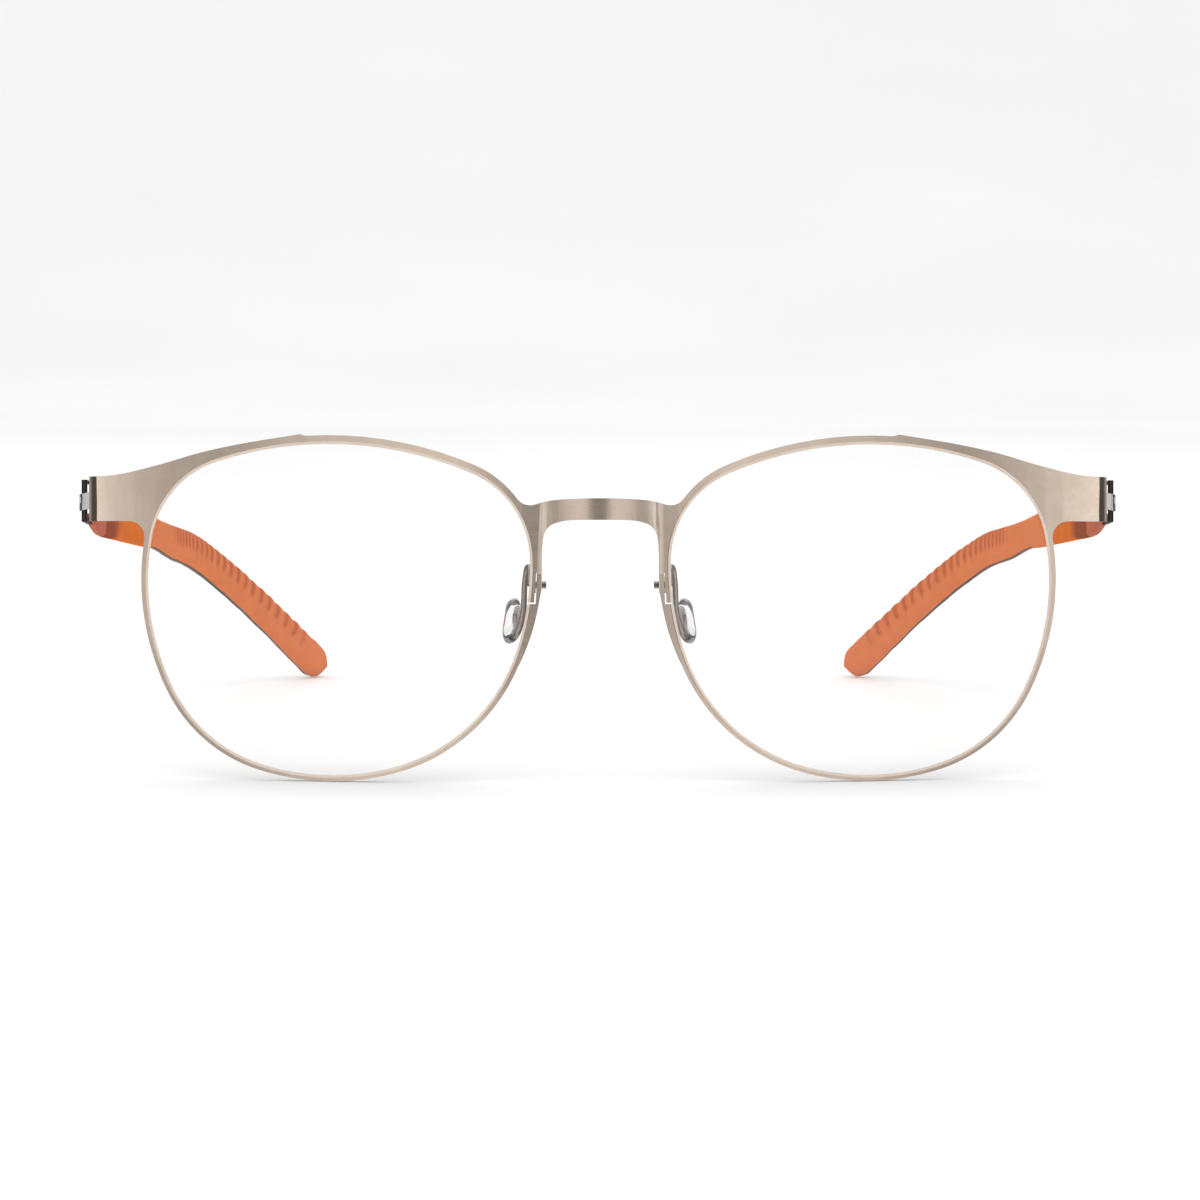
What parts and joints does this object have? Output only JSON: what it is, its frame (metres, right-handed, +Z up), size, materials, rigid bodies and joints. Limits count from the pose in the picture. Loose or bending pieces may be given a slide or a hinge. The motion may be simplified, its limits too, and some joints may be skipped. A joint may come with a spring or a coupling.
{
  "type": "eyeglasses",
  "caption": "Round eyeglasses with a one-piece sheet-metal front, screwless snap hinges, folding temples with ribbed silicone covers, clear lenses and silicone nose pads.",
  "frame": {"origin": "centre of the open glasses' outline on the surface that they stand on, lens rims and temple tips down", "axes": "+X across the face, to the viewer's right as seen from the front; +Y from the lenses back to the temple tips; +Z up"},
  "size_m": [0.1434, 0.1343, 0.0469],
  "materials": {
    "champagne_steel": "fine brushed, champagne tint",
    "lens_clear": "clear, polished",
    "polished_wire": "polished",
    "clear_silicone": "clear, soft gloss",
    "silver_spring": "satin",
    "gunmetal_steel": "satin dark",
    "orange_silicone": "matt silicone"
  },
  "bodies": {
    "front": {"front_frame": "champagne_steel", "lens_left": "lens_clear", "lens_right": "lens_clear", "pad_arm_left": "polished_wire", "pad_arm_right": "polished_wire", "nose_pad_left": "clear_silicone", "nose_pad_right": "clear_silicone", "hinge_clip_left": "silver_spring", "hinge_clip_right": "silver_spring"},
    "temple_arm_left": {"temple_left": "gunmetal_steel", "temple_cover_left": "orange_silicone"},
    "temple_arm_right": {"temple_right": "gunmetal_steel", "temple_cover_right": "orange_silicone"}
  },
  "joints": [
    {"name": "fold_left", "type": "hinge", "parent": "front", "child": "temple_arm_left", "pos_m": [-0.071, -0.05219, 0.03726], "axis": [0, 0.0879, 0.9961], "range_deg": [-77, 0]},
    {"name": "fold_right", "type": "hinge", "parent": "front", "child": "temple_arm_right", "pos_m": [0.071, -0.05219, 0.03726], "axis": [0, 0.0879, 0.9961], "range_deg": [0, 68]}
  ]
}
